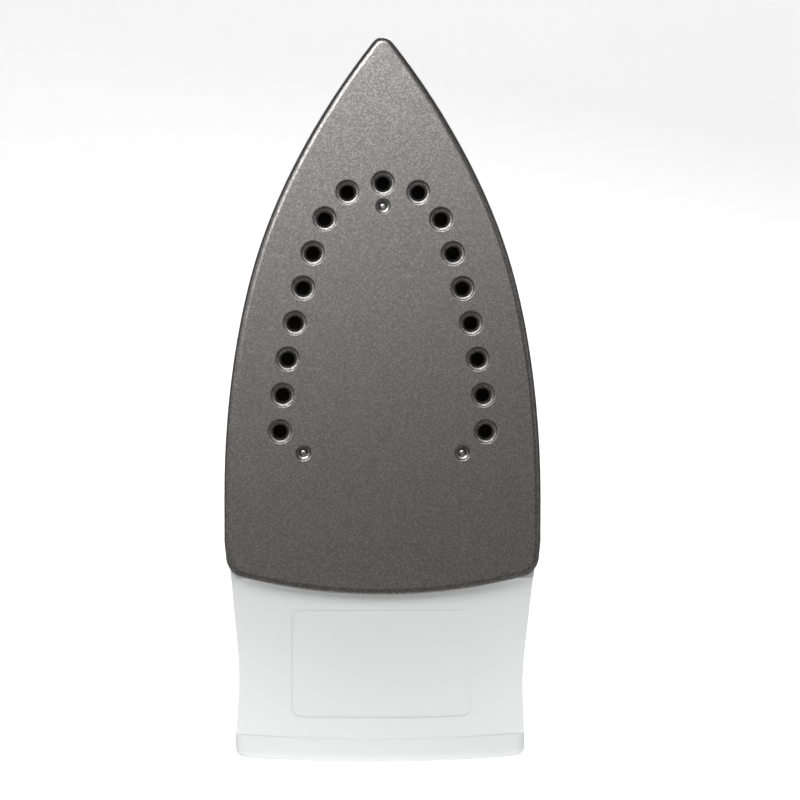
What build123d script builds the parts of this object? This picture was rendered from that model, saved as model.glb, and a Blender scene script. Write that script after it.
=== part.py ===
from build123d import *
from math import atan2, cos, pi, radians, sin, sqrt
import os

# A steam iron standing on its heel, in millimetres.
#
# Frame: the origin is the centre of the heel rest, the flat face that the iron stands on. +Z runs along the
# sole from the heel to the nose, the sole faces -Y and the handle is on the +Y side, +X is across the iron.
# Heights are measured from the sole face towards the handle, stations along the sole from the heel rest.

os.makedirs("parts", exist_ok=True)

# ------------------------------------------------------------------ driving dimensions
overall_length = 272.0  # heel rest to nose tip
sole_length = 208.0
sole_half = 59.0  # half of the sole's greatest width
sole_offset = 66.0  # sole face to the origin
widest_station = 107.0  # where the sides stop widening, seen from the nose
parallel_end = 84.0  # where the parallel stretch of the sides ends, towards the heel

wall = 2.2  # moulded shells
gap = 0.4  # shut lines between shells
slip = 0.3  # room round pieces that move

heel_seam = 9.0  # rear cover meets the housing
tank_rear = 74.0  # housing meets the tank
tank_top = 58.0  # platform under the dial
tank_split = 42.0  # weld line between the tank halves

dial_station = 112.0
dial_radius = 24.0
rod_station = 178.0
slider_station = 165.0
slider_travel = 8.0
rod_lift = 3.0
filler_station = 240.0
button_station = 200.0
button_side = 8.5
button_travel = 4.5
lens_station = 46.0
gland_station = 26.0

handle_half = 18.0
handle_split = 109.0  # height where the grip's cover meets its base


def level(height):
    """Plane parallel to the sole at a height: sketch (station, across), extrudes away from the sole."""
    return Plane(origin=(0, height - sole_offset, 0), x_dir=(0, 0, 1), z_dir=(0, 1, 0))


def across(station):
    """Plane square to the sole at a station: sketch (across, height), extrudes towards the nose."""
    return Plane(origin=(0, -sole_offset, station), x_dir=(1, 0, 0), z_dir=(0, 0, 1))


# Plane through the middle of the iron: sketch (station, height).
side = Plane(origin=(0, -sole_offset, 0), x_dir=(0, 0, 1), z_dir=(-1, 0, 0))


def write(builder, name):
    """Label a finished piece and write it as one STEP file."""
    builder.part.label = name
    export_step(builder.part, f"parts/{name}.step")


# ------------------------------------------------------------------ outlines that the shells share
# One side of the sole from the nose to its widest place, as shares of that length and of the half width.
side_shape = [(0.233, 0.476), (0.459, 0.763), (0.685, 0.920), (1.0, 1.0)]


def nose_and_side(nose, nose_radius, half, after):
    """Rounded nose and the right-hand side from it, through the points in after: (arc start, side points)."""
    run = nose - widest_station
    lean = atan2(half * side_shape[0][1], run * side_shape[0][0]) + radians(2)
    start = (nose - nose_radius * (1 - sin(lean)), nose_radius * cos(lean))
    points = [start] + [(nose - run * s, half * w) for s, w in side_shape] + after
    return start, (-cos(lean), sin(lean)), points


def plan_outline(nose, nose_radius, half, after, last_way):
    """Edges of a closed plan outline: nose arc, two mirrored sides and a straight rear."""
    start, way, points = nose_and_side(nose, nose_radius, half, after)
    ThreePointArc((start[0], -start[1]), (nose, 0), start)
    Spline(*points, tangents=[way, last_way])
    Line(points[-1], (points[-1][0], -points[-1][1]))
    Spline(
        *[(s, -w) for s, w in reversed(points)],
        tangents=[(-last_way[0], last_way[1]), (-way[0], way[1])],
    )


def beside(curve, amount, count=12):
    """Points along a curve, moved to its left by amount."""
    spots = []
    for i in range(count + 1):
        at, way = curve @ (i / count), curve % (i / count)
        spots.append((at.X - way.Y * amount, at.Y + way.X * amount))
    return spots


def meet(p, way_p, q, way_q):
    """Where two lines cross, each given by a point and a direction."""
    turn = way_p[0] * way_q[1] - way_p[1] * way_q[0]
    reach = ((q[0] - p[0]) * way_q[1] - (q[1] - p[1]) * way_q[0]) / turn
    return p[0] + reach * way_p[0], p[1] + reach * way_p[1]


def sole_outline(inset=0.0):
    """Sketch of the sole: pointed nose, parallel sides, rounded rear corners and a bowed rear edge."""
    rear = overall_length - sole_length + inset
    rear_sag = 8.15
    half = sole_half - inset
    corner_half = half - 1.2
    start, way, points = nose_and_side(overall_length, 4.65, sole_half, [(parallel_end, sole_half)])
    side_curve = Edge.make_spline([Vector(*p) for p in points], [Vector(*way), Vector(-1, 0)])
    if inset:
        kept = [(s, w) for s, w in beside(side_curve, inset, 60) if w > 3.0]
        first = side_curve % (1 - (len(kept) - 1) / 60)
        way = (first.X, first.Y)
        points = kept[:-3:5] + [kept[-1]]
        start = points[0]
    lean = atan2(way[1], -way[0])
    tip = start[0] + start[1] / cos(lean) * (1 - sin(lean))
    with BuildSketch(mode=Mode.PRIVATE) as sketch:
        with BuildLine():
            ThreePointArc((start[0], -start[1]), (tip, 0), start)
            Spline(*points, tangents=[way, (-1, 0)])
            Line(points[-1], (rear + rear_sag, corner_half))
            ThreePointArc((rear + rear_sag, corner_half), (rear, 0), (rear + rear_sag, -corner_half))
            Line((rear + rear_sag, -corner_half), (parallel_end, -half))
            Spline(*[(s, -w) for s, w in reversed(points)], tangents=[(1, 0), (-way[0], way[1])])
        make_face()
        corners = [v for v in sketch.vertices() if abs(abs(v.Y) - corner_half) < 0.01 and v.X < rear + 10]
        fillet(corners, radius=max(8.0 - inset, 1.5))
    return sketch.sketch


# Plan sections of the lower body: height, nose, nose radius, half width, waist, heel.
hull_levels = [
    (4.5, 268.5, 4.0, 57.4, 53.2, 54.4),
    (16.0, 266.0, 5.0, 57.2, 53.8, 55.0),
    (32.0, 254.0, 12.0, 55.4, 53.4, 54.8),
    (46.0, 232.0, 20.0, 50.0, 49.6, 50.8),
    (tank_top, 200.0, 20.0, 42.5, 43.4, 44.6),
]
waist_station = 28.0


def hull(inset=0.0):
    """Lower body as one solid, or the same body inset by a wall thickness."""
    tail = heel_seam - (3 if inset else 0)
    with BuildPart(mode=Mode.PRIVATE) as body:
        for i, (height, nose, nose_radius, half, waist, heel) in enumerate(hull_levels):
            lift = inset if i == 0 else (-inset if i == len(hull_levels) - 1 else 0)
            with BuildSketch(level(height + lift)):
                with BuildLine():
                    middle = (half * 0.45 + waist * 0.55) - inset
                    plan_outline(
                        nose - 1.7 * inset,
                        max(nose_radius - inset, 1.2),
                        half - inset,
                        [(parallel_end, half - inset), (54, middle), (waist_station, waist - inset),
                         (tail, heel - inset)],
                        (-1, 0.04),
                    )
                make_face()
        loft()
    return body.part


# Plan sections of the rear housing: height, front, half width there, waist, heel, front corner radius.
crown_height = 113.0
crown_radius = 20.0
tower_levels = [
    (20.0, tank_rear, 56.4, 53.8, 55.0, 2.0),
    (34.0, tank_rear, 54.4, 53.0, 54.4, 2.0),
    (46.0, tank_rear, 49.8, 49.6, 50.8, 3.0),
    (tank_top, 72.5, 42.2, 43.4, 44.6, 5.0),
    (68.0, 66.0, 34.2, 37.2, 39.0, 8.0),
    (78.0, 60.5, 27.2, 31.2, 33.6, 9.0),
    (88.0, 57.5, 21.8, 26.0, 28.8, 9.0),
    (98.0, 58.0, 17.8, 21.6, 24.4, 8.0),
    (108.0, 60.5, 15.2, 18.0, 20.4, 7.0),
    (118.0, 63.0, 13.0, 15.4, 17.0, 6.0),
]


def tower(inset=0.0):
    """Rear housing from the skirt up to the handle, before the belly is cut."""
    tail = heel_seam - (3 if inset else 0)
    with BuildPart(mode=Mode.PRIVATE) as body:
        for i, (height, front, half, waist, heel, corner) in enumerate(tower_levels):
            lift = -inset if i == len(tower_levels) - 1 else 0
            face, w, radius = front - inset, half - inset, max(corner - inset, 1.0)
            with BuildSketch(level(height + lift)):
                with BuildLine():
                    Line((tail, -(heel - inset)), (tail, heel - inset))
                    Spline((tail, heel - inset), (waist_station, waist - inset), (face - radius, w),
                           tangents=[(1, -0.06), (1, -0.02)])
                    RadiusArc((face - radius, w), (face, w - radius), radius)
                    Line((face, w - radius), (face, -(w - radius)))
                    RadiusArc((face, -(w - radius)), (face - radius, -w), radius)
                    Spline((face - radius, -w), (waist_station, -(waist - inset)), (tail, -(heel - inset)),
                           tangents=[(-1, -0.02), (-1, -0.06)])
                make_face()
        loft()
        add(crown(inset), mode=Mode.INTERSECT)
    return body.part


def crown(inset):
    """Everything under the rounded top corner of the tower; an inset one stays open at the heel."""
    middle = (heel_seam + crown_radius, crown_height - crown_radius)
    radius = crown_radius - inset
    bend = (middle[0] - radius * sqrt(0.5), middle[1] + radius * sqrt(0.5))
    rear = 2.0 if inset else middle[0] - radius
    with BuildPart(mode=Mode.PRIVATE) as block:
        with BuildSketch(side):
            with BuildLine():
                ThreePointArc((middle[0] - radius, middle[1]), bend, (middle[0], middle[1] + radius))
                Polyline((middle[0], middle[1] + radius), (300, middle[1] + radius), (300, -10), (rear, -10))
                Polyline((rear, -10), (rear, middle[1]), (middle[0] - radius, middle[1])) if inset else Line(
                    (rear, -10), (rear, middle[1]))
            make_face()
        extrude(amount=80, both=True)
    return block.part


def belly(inset=0.0):
    """Solid above the bowed underside of the heel: nearly flat by the sole, round at the heel rest."""
    reach = 70.0
    with BuildPart(mode=Mode.PRIVATE) as keep:
        for station, low, rise in [(-2, 13.4, 35.0), (36, 9.0, 17.0), (overall_length - sole_length + 6, 4.5, 3.0)]:
            with BuildSketch(across(station)):
                with BuildLine():
                    ThreePointArc((-reach, low + rise + inset), (0, low + inset), (reach, low + rise + inset))
                    Line((reach, low + rise + inset), (reach, 140))
                    Line((reach, 140), (-reach, 140))
                    Line((-reach, 140), (-reach, low + rise + inset))
                make_face()
        loft()
        with BuildSketch(across(overall_length - sole_length + 6)):
            with Locations((0, 65)):
                Rectangle(2 * reach, 150)
        extrude(amount=230)
    return keep.part


grip_rear = (heel_seam, 116.0)
grip_front = (221.0, 117.5)
# Underside of the loop and its front post, as station and height, from the front of the post to the heel.
grip_under = [grip_front, (226, 38), (170, 38), (168, 96), (46, 98.2), (36, 84), (heel_seam, 84), grip_rear]
grip_rounding = [(grip_rear, 15), (grip_front, 15), ((168, 96), 15), ((46, 98.2), 9)]
rim_radius = 10.5


def handle(inset=0.0):
    """Closed handle loop with its front post, run down into the lower body, or the same inset."""
    top_ways = [(1, 0.26), (1, -0.32)]
    crest = [grip_rear, (60, 127.0), (115, 130.2), (165, 128.4), grip_front]
    top = Edge.make_spline([Vector(*p) for p in crest], [Vector(*way) for way in top_ways])
    legs = []
    for p, q in zip(grip_under, grip_under[1:]):
        run = sqrt((q[0] - p[0]) ** 2 + (q[1] - p[1]) ** 2)
        way = ((q[0] - p[0]) / run, (q[1] - p[1]) / run)
        legs.append(((p[0] + way[1] * inset, p[1] - way[0] * inset), way))
    above = beside(top, -inset)
    front = meet(above[-1], top_ways[1], *legs[0])
    rear = meet(*legs[-1], above[0], top_ways[0])
    corners = [front] + [meet(*legs[i], *legs[i + 1]) for i in range(len(legs) - 1)] + [rear]
    between = [spot for spot in above[1:-1] if rear[0] + 6 < spot[0] < front[0] - 6]
    with BuildPart(mode=Mode.PRIVATE) as grip:
        with BuildSketch(side) as profile:
            with BuildLine():
                Spline(rear, *between, front, tangents=top_ways)
                Polyline(*corners)
            make_face()
            for spot, radius in grip_rounding:
                inner = radius + (inset if spot[1] < 100 else -inset)
                fillet(profile.vertices().sort_by_distance(spot)[0], radius=inner)
        extrude(amount=handle_half - inset, both=True)
        ends = grip.faces().filter_by(Axis.X)
        ends = [f for f in ends if abs(abs(f.center().X) - (handle_half - inset)) < 0.01]
        rims = [e for f in ends for e in f.edges() if e.center().Y + sole_offset > 60]
        fillet(rims, radius=rim_radius - inset)
    return grip.part


def profile_block(points, half=80.0):
    """Block across the iron with a side profile given as (station, height)."""
    with BuildPart(mode=Mode.PRIVATE) as block:
        with BuildSketch(side):
            with BuildLine():
                Polyline(*points, close=True)
            make_face()
        extrude(amount=half, both=True)
    return block.part


def seam_height(station):
    """Height of the shut line between the skirt and the shells above it."""
    return 16.0 + (268.0 - station) * 0.085


def below_seam(drop=0.0):
    """Everything under the sloping shut line, lowered by drop."""
    return profile_block([(-5, -5), (290, -5), (290, seam_height(290) - drop), (-5, seam_height(-5) - drop)])


def prism(height, amount, length, width, station, corner, offset_across=0.0):
    """Upright block with rounded corners: height of its base, its own height, and its plan."""
    with BuildPart(mode=Mode.PRIVATE) as block:
        with BuildSketch(level(height)):
            with Locations((station, offset_across)):
                RectangleRounded(length, width, corner)
        extrude(amount=amount)
    return block.part


def rod(station, offset_across, low, high, radius):
    """Upright cylinder between two heights."""
    with BuildPart(mode=Mode.PRIVATE) as cylinder:
        with BuildSketch(level(low)):
            with Locations((station, offset_across)):
                Circle(radius)
        extrude(amount=high - low)
    return cylinder.part


def slice_between(low, high, start=-20.0, end=300.0):
    """Everything between two heights and two stations."""
    return profile_block([(start, low), (end, low), (end, high), (start, high)])


# ------------------------------------------------------------------ sole group
plate_thickness = 3.6
block_height = 14.0  # top of the cast block, where the steam chamber closes
chamber_floor = 4.8
block_rear = 80.0
cover_thickness = 1.0
seal_thickness = 0.8
cover_top = block_height + seal_thickness + cover_thickness
boss_top = cover_top + 0.2

# Centres of the steam vents on one side, as station and distance across, about 13.5 apart along a horseshoe.
vent_run = [(217.5, 0), (214.1, 13.2), (204.1, 21.7), (191.4, 26.1), (178.4, 29.7), (165.4, 32.8), (152.0, 35.4),
            (138.6, 37.3), (125.0, 38.3)]
vents = vent_run + [(s, -w) for s, w in vent_run if w]
dimples = [(208.9, 0), (117.0, 29.6), (117.0, -29.6)]
sole_bosses = [(92.0, 44.0), (92.0, -44.0), (229.0, 0)]

burst_feed = (189.0, -8.5)  # where the burst of water enters the chamber

element_half = 20.0  # legs of the U from the middle
element_bend = 174.0  # station where the legs end
element_radius = 3.2
element_height = 8.8


def block_outline(inset):
    """Sketch of the cast block's outline, cut straight at the rear, inset further."""
    with BuildSketch(mode=Mode.PRIVATE) as sketch:
        add(sole_outline(7.5 + inset))
        with Locations((block_rear + inset - 50, 0)):
            Rectangle(100, 200, mode=Mode.SUBTRACT)
    return sketch.sketch


def turned(profile):
    """Solid of revolution about local Z at the origin, from (radius, height) points."""
    with BuildPart(mode=Mode.PRIVATE) as body:
        with BuildSketch(Plane.XZ):
            with BuildLine():
                Polyline(*profile, close=True)
            make_face()
        revolve(axis=Axis.Z)
    return body.part


def element_path(half, start):
    """U-shaped path at the element's height, open towards the heel."""
    with BuildLine(level(element_height), mode=Mode.PRIVATE) as path:
        Line((start, -half), (element_bend, -half))
        ThreePointArc((element_bend, -half), (element_bend + half, 0), (element_bend, half))
        Line((element_bend, half), (start, half))
    return path


def tube_along_element(radius, start):
    """Round bar along the element's path."""
    with BuildPart(mode=Mode.PRIVATE) as bar:
        path = element_path(element_half, start)
        with BuildSketch(Plane(origin=path.line @ 0, z_dir=path.line % 0)):
            Circle(radius)
        sweep(path=path.line)
    return bar.part


# Vent: a rounded lip, a steep wall, a narrow shoulder, a cone and the bore, from the face inwards.
vent_profile = [(0, -1), (4.75, -1), (4.75, 0), (4.45, 0.05), (4.25, 0.22), (4.15, 0.5), (4.05, 1.0), (3.45, 1.1),
                (3.3, 1.25), (2.6, 2.1), (2.5, 2.5), (2.5, 8), (0, 8)]
dimple_profile = [(0, -1), (3.05, -1), (3.05, 0), (2.8, 0.1), (2.65, 0.4), (2.3, 1.5), (1.55, 1.75), (1.55, 20),
                  (0, 20)]

vent_cutter = turned(vent_profile)
dimple_cutter = turned(dimple_profile)

with BuildPart() as soleplate:
    with BuildSketch(level(0)):
        add(sole_outline())
    extrude(amount=plate_thickness)
    fillet(soleplate.faces().sort_by(Axis.Y)[0].edges(), radius=2.4)
    fillet(soleplate.faces().sort_by(Axis.Y)[-1].edges(), radius=0.5)
    with BuildSketch(level(plate_thickness)):
        add(block_outline(0))
    extrude(amount=block_height - plate_thickness)
    with BuildSketch(level(chamber_floor)):
        add(block_outline(3.2))
    extrude(amount=20, mode=Mode.SUBTRACT)
    with BuildSketch(level(chamber_floor)):
        with Locations(*dimples):
            Circle(4.0)
        with Locations((107, 0)):
            SlotOverall(46, 19)
    extrude(amount=block_height - chamber_floor)
    with BuildSketch(level(chamber_floor)):
        with Locations(*sole_bosses):
            Circle(5.0)
    extrude(amount=boss_top - chamber_floor)
    with BuildSketch(level(chamber_floor)):
        with BuildLine():
            Line((block_rear + 1, -element_half), (element_bend, -element_half))
            ThreePointArc((element_bend, -element_half), (element_bend + element_half, 0),
                          (element_bend, element_half))
            Line((element_bend, element_half), (block_rear + 1, element_half))
        trace(line_width=10)
    extrude(amount=block_height - chamber_floor)
    add(tube_along_element(element_radius + 0.05, block_rear - 6), mode=Mode.SUBTRACT)
    for across_side in (1, -1):
        add(prism(element_height + element_radius + 0.8, 5, 9, 14, 140, 1, across_side * element_half),
            mode=Mode.SUBTRACT)
    for s, w in vents:
        add(level(0).location * Location((s, w, 0)) * vent_cutter, mode=Mode.SUBTRACT)
    for s, w in dimples:
        add(level(0).location * Location((s, w, 0)) * dimple_cutter, mode=Mode.SUBTRACT)
    with BuildSketch(level(boss_top)):
        with Locations(*sole_bosses):
            Circle(1.9)
    extrude(amount=-9, mode=Mode.SUBTRACT)
write(soleplate, "soleplate")

with BuildPart() as heating_element:
    add(tube_along_element(element_radius, 77))
write(heating_element, "heating_element")

with BuildPart() as element_terminals:
    for w in (element_half, -element_half):
        with BuildSketch(across(77)):
            with Locations((w, element_height)):
                Circle(1.1)
        extrude(amount=-9)
        with BuildSketch(across(69)):
            with Locations((w, element_height + 2.4)):
                Rectangle(5, 6.4)
        extrude(amount=-0.8)
write(element_terminals, "element_terminals")

with BuildPart() as chamber_rivets:
    for s, w in dimples:
        with BuildSketch(level(1.9)):
            with Locations((s, w)):
                Circle(1.5)
        extrude(amount=cover_top - 1.9)
        with BuildSketch(level(cover_top)):
            with Locations((s, w)):
                Circle(3.2)
        extrude(amount=1.4)
    low_rims = chamber_rivets.faces().filter_by(Axis.Y).group_by(Axis.Y)[0].edges()
    fillet(low_rims, radius=1.0)
write(chamber_rivets, "chamber_rivets")

with BuildPart() as chamber_seal:
    with BuildSketch(level(block_height)):
        add(block_outline(0.4))
        add(block_outline(2.8), mode=Mode.SUBTRACT)
        with Locations(*sole_bosses):
            Circle(5.2, mode=Mode.SUBTRACT)
    extrude(amount=seal_thickness)
write(chamber_seal, "chamber_seal")

with BuildPart() as chamber_cover:
    with BuildSketch(level(block_height + seal_thickness)):
        add(block_outline(0.4))
        with Locations(*sole_bosses):
            Circle(5.2, mode=Mode.SUBTRACT)
        with Locations(*dimples):
            Circle(1.55, mode=Mode.SUBTRACT)
        with Locations((107, 0)):
            SlotOverall(48, 21, mode=Mode.SUBTRACT)
        with Locations((rod_station, 0)):
            Circle(3.0, mode=Mode.SUBTRACT)
        with Locations(burst_feed):
            Circle(2.0, mode=Mode.SUBTRACT)
    extrude(amount=cover_thickness)
write(chamber_cover, "chamber_cover")

# ------------------------------------------------------------------ thermostat
stack_station = 95.0
with BuildPart() as thermostat_base:
    with BuildSketch(level(block_height)):
        with Locations((107, 0)):
            SlotOverall(42, 12)
        with Locations((stack_station, 0)):
            Circle(1.5, mode=Mode.SUBTRACT)
    extrude(amount=1.2)
write(thermostat_base, "thermostat_base")

spacer_spans = [(15.2, 18.0), (18.5, 21.5), (22.0, 25.0)]
with BuildPart() as thermostat_insulators:
    for low, high in spacer_spans:
        with BuildSketch(level(low)):
            with Locations((stack_station, 0)):
                Circle(4.6)
                Circle(1.5, mode=Mode.SUBTRACT)
        extrude(amount=high - low)
write(thermostat_insulators, "thermostat_insulators")

with BuildPart() as thermostat_blades:
    for low, reach, contact in [(18.0, 30, 1), (21.5, 28, -1)]:
        with BuildSketch(level(low)):
            with Locations((stack_station - 4 + reach / 2, 0)):
                Rectangle(reach, 5.4)
            with Locations((stack_station, 0)):
                Circle(1.5, mode=Mode.SUBTRACT)
        extrude(amount=0.5)
        with BuildSketch(level(low + (0.5 if contact > 0 else 0))):
            with Locations((stack_station + 21, 0)):
                Circle(1.6)
        extrude(amount=contact * 1.2)
write(thermostat_blades, "thermostat_blades")

with BuildPart() as thermostat_rivet:
    add(rod(stack_station, 0, 14.0, 25.0, 1.45))
    add(rod(stack_station, 0, 25.0, 26.2, 2.8))
write(thermostat_rivet, "thermostat_rivet")

with BuildPart() as spindle_bracket:
    with BuildSketch(level(block_height)):
        with Locations((dial_station, 8.0), (dial_station, -8.0)):
            Rectangle(10, 1.2)
    extrude(amount=13.0)
    with BuildSketch(level(block_height + 13.0)):
        with Locations((dial_station, 0)):
            Rectangle(10, 17.2)
            Circle(3.1, mode=Mode.SUBTRACT)
    extrude(amount=1.2)
write(spindle_bracket, "spindle_bracket")

with BuildPart() as thermal_fuse:
    with BuildSketch(across(90)):
        with Locations((-34, cover_top + 2.3)):
            Circle(2.2)
    extrude(amount=24)
write(thermal_fuse, "thermal_fuse")

# ------------------------------------------------------------------ skirt
skirt_floor = 4.5 + 2.0
lug_low = boss_top + 0.05
lug_thickness = 1.8
with BuildPart() as skirt:
    add(hull())
    add(belly(), mode=Mode.INTERSECT)
    add(below_seam(), mode=Mode.INTERSECT)
    with BuildPart(mode=Mode.PRIVATE) as inside:
        add(hull(wall))
        add(belly(wall), mode=Mode.INTERSECT)
        add(slice_between(skirt_floor, 60), mode=Mode.INTERSECT)
    add(inside.part, mode=Mode.SUBTRACT)
    with BuildSketch(level(0)):
        add(block_outline(-1.2))
    extrude(amount=skirt_floor + 1, mode=Mode.SUBTRACT)
    add(prism(0, skirt_floor + 1, 10, 54, 76, 1), mode=Mode.SUBTRACT)
    # Lugs that the three screws clamp onto the bosses of the cast block.
    for length, width, s, w in [(10, 17, 92, 47.8), (10, 17, 92, -47.8), (28, 32, 236, 0)]:
        with BuildSketch(level(lug_low)):
            with Locations((s, w)):
                Rectangle(length, width)
        lug = extrude(amount=lug_thickness, mode=Mode.PRIVATE)
        add(lug & hull(1.0) & below_seam(0.2))
    with BuildSketch(level(lug_low)):
        with Locations(*sole_bosses):
            Circle(2.1)
    extrude(amount=6, mode=Mode.SUBTRACT)
    # Shallow label recess in the underside of the heel.
    recess = prism(0, 60, 41, 68, 37.5, 3.5) - belly(0.35)
    add(recess, mode=Mode.SUBTRACT)
write(skirt, "skirt")

with BuildPart() as sole_screws:
    for s, w in sole_bosses:
        add(rod(s, w, boss_top - 8, lug_low + lug_thickness, 1.85))
        add(rod(s, w, lug_low + lug_thickness, lug_low + lug_thickness + 1.5, 3.6))
write(sole_screws, "sole_screws")

# ------------------------------------------------------------------ water tank
tank_wall = 2.0
tank_front = tank_rear + gap
weld_lift = 12.0  # weld line between the halves, above the shut line
well_radius = 7.5
door_length = 21.0
door_width = 21.0
door_rear = 229.0
hinge_radius = 1.8
pin_radius = 0.9


def height_on_hull(station):
    """Height of the lower body's surface on the middle plane."""
    probe = profile_block([(station, 0), (station + 0.01, 0), (station + 0.01, 90), (station, 90)], 0.01)
    return (hull() & probe).bounding_box().max.Y + sole_offset


hinge_height = height_on_hull(door_rear) + 0.3


def hinge_bar(radius, half, start=0.0):
    """Cylinder across the iron on the fill door's hinge line, or two when it starts off the middle."""
    with BuildPart(mode=Mode.PRIVATE) as bar:
        with BuildSketch(side):
            with Locations((door_rear - 0.4, hinge_height)):
                Circle(radius)
        extrude(amount=half, both=True)
        if start:
            with BuildSketch(side):
                with Locations((door_rear - 0.4, hinge_height)):
                    Circle(radius + 1)
            extrude(amount=start, both=True, mode=Mode.SUBTRACT)
    return bar.part


tank_outside = (hull() & slice_between(-5, 90, tank_front)) - below_seam(-gap)
tank_inside = (hull(tank_wall) & slice_between(-5, 90, tank_front + tank_wall)) - below_seam(-gap - tank_wall)

with BuildPart() as tank:
    add(tank_outside)
    add(tank_inside, mode=Mode.SUBTRACT)
    add(rod(dial_station, 0, 10, 60, well_radius) & tank_outside)
    add(rod(dial_station, 0, 0, 70, well_radius - tank_wall), mode=Mode.SUBTRACT)
    add(rod(rod_station, 0, 40, 70, 3.0), mode=Mode.SUBTRACT)
    add(rod(rod_station, 0, 0, 40, 4.5), mode=Mode.SUBTRACT)
    add(rod(*burst_feed, 0, 70, 1.9), mode=Mode.SUBTRACT)
    for w in (button_side, -button_side):
        add(rod(button_station, w, 40, 70, 1.9), mode=Mode.SUBTRACT)
    add(prism(30, 40, door_length + 0.6, door_width + 0.6, door_rear + door_length / 2, 4.3),
        mode=Mode.SUBTRACT)
    add(hinge_bar(hinge_radius, 9.5, 6.4))
    add(hinge_bar(hinge_radius + 0.3, 6.4), mode=Mode.SUBTRACT)
    add(hinge_bar(pin_radius + 0.05, 9.5), mode=Mode.SUBTRACT)

with BuildPart() as tank_lower:
    add(tank.part)
    add(below_seam(-weld_lift), mode=Mode.INTERSECT)
write(tank_lower, "tank_lower")

with BuildPart() as tank_upper:
    add(tank.part)
    add(below_seam(-weld_lift), mode=Mode.SUBTRACT)
write(tank_upper, "tank_upper")

with BuildPart() as fill_door:
    add(hull())
    add(hull(tank_wall), mode=Mode.SUBTRACT)
    add(prism(30, 40, door_length, door_width, door_rear + door_length / 2, 4), mode=Mode.INTERSECT)
    add(hinge_bar(hinge_radius, 6.0))
    # Finger lip at the front edge.
    add(prism(30, 12, 5, 9, door_rear + door_length - 2.6, 1.5) & (hull(-1.2) - hull(0.5)))
    add(hinge_bar(hinge_radius + 0.3, 9.9, 6.0), mode=Mode.SUBTRACT)
    add(hinge_bar(pin_radius + 0.05, 9.5), mode=Mode.SUBTRACT)
write(fill_door, "fill_door")

with BuildPart() as fill_door_pin:
    add(hinge_bar(pin_radius, 9.3))
write(fill_door_pin, "fill_door_pin")

with BuildPart() as drip_seat:
    add(rod(rod_station, 0, cover_top, cover_top + 1.6, 6.5))
    add(rod(rod_station, 0, cover_top, 27.6, 4.4))
    add(rod(rod_station, 0, 0, 40, 1.7), mode=Mode.SUBTRACT)
write(drip_seat, "drip_seat")

with BuildPart() as rod_gland:
    add(rod(rod_station, 0, tank_top - tank_wall, tank_top, 2.95))
    add(rod(rod_station, 0, tank_top, tank_top + 1.6, 5.0))
    add(rod(rod_station, 0, 40, 70, 1.6), mode=Mode.SUBTRACT)
write(rod_gland, "rod_gland")

# ------------------------------------------------------------------ housing and rear cover
foot_half = 56.3  # half of the heel cover's greatest width, a little proud of the housing
web_station = 20.0
web_thickness = 2.4
cover_screws = [(34.0, 52.0), (-34.0, 52.0), (0.0, 88.0)]  # across, height
shelf_low = (54.0, 22.0, 50.0)  # height, stations
shelf_high = (103.0, 12.0, 56.0)
shelf_thickness = 2.0
handle_screw_stations = [78.0, 146.0]
nozzle_height = 84.0
nozzle_radius = 4.2
bracket_height = 80.0

loop_outside = tower() + handle()
loop_inside = tower(wall) + handle(wall)


def along(station, end, w, height, radius):
    """Cylinder along the iron between two stations."""
    with BuildPart(mode=Mode.PRIVATE) as cylinder:
        with BuildSketch(across(station)):
            with Locations((w, height)):
                Circle(radius)
        extrude(amount=end - station)
    return cylinder.part


with BuildPart() as housing:
    add(loop_outside)
    add(loop_inside, mode=Mode.SUBTRACT)
    add(loop_inside & slice_between(0, 100, web_station, web_station + web_thickness))
    for height, start, end in (shelf_low, shelf_high):
        add(loop_inside & slice_between(height, height + shelf_thickness, start, end))
    for w, height in cover_screws:
        add(along(heel_seam + 0.4, web_station, w, height, 3.8))
    add(loop_inside & slice_between(bracket_height - 3, bracket_height, 186, 212) & (
        prism(70, 20, 40, 4, 199, 0.5, 16.8) + prism(70, 20, 40, 4, 199, 0.5, -16.8)))
    for s in handle_screw_stations:
        add(loop_inside & rod(s, 0, 90, handle_split, 4.2))
    add(slice_between(-10, handle_split), mode=Mode.INTERSECT)
    add(below_seam(-gap), mode=Mode.SUBTRACT)
    add(hull(-0.3) & slice_between(-5, 90, tank_rear + 0.05), mode=Mode.SUBTRACT)
    # Windows for the leads in the web and the bosses' screw holes.
    with BuildSketch(across(web_station - 1)):
        with Locations((0, 70)):
            RectangleRounded(38, 22, 4)
        with Locations((0, 40)):
            RectangleRounded(60, 12, 4)
    extrude(amount=web_thickness + 2, mode=Mode.SUBTRACT)
    for w, height in cover_screws:
        add(along(0, web_station + 5, w, height, 1.6), mode=Mode.SUBTRACT)
    for s in handle_screw_stations:
        add(rod(s, 0, 90, 120, 1.7), mode=Mode.SUBTRACT)
        add(rod(s, 0, 90, 101.5, 3.5), mode=Mode.SUBTRACT)
    add(rod(gland_station, 0, 100, 108, 4.5), mode=Mode.SUBTRACT)
    add(rod(lens_station, 0, 100, 108, 1.8), mode=Mode.SUBTRACT)
    add(along(215, 230, 0, nozzle_height, nozzle_radius + 0.1), mode=Mode.SUBTRACT)
write(housing, "housing")


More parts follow.
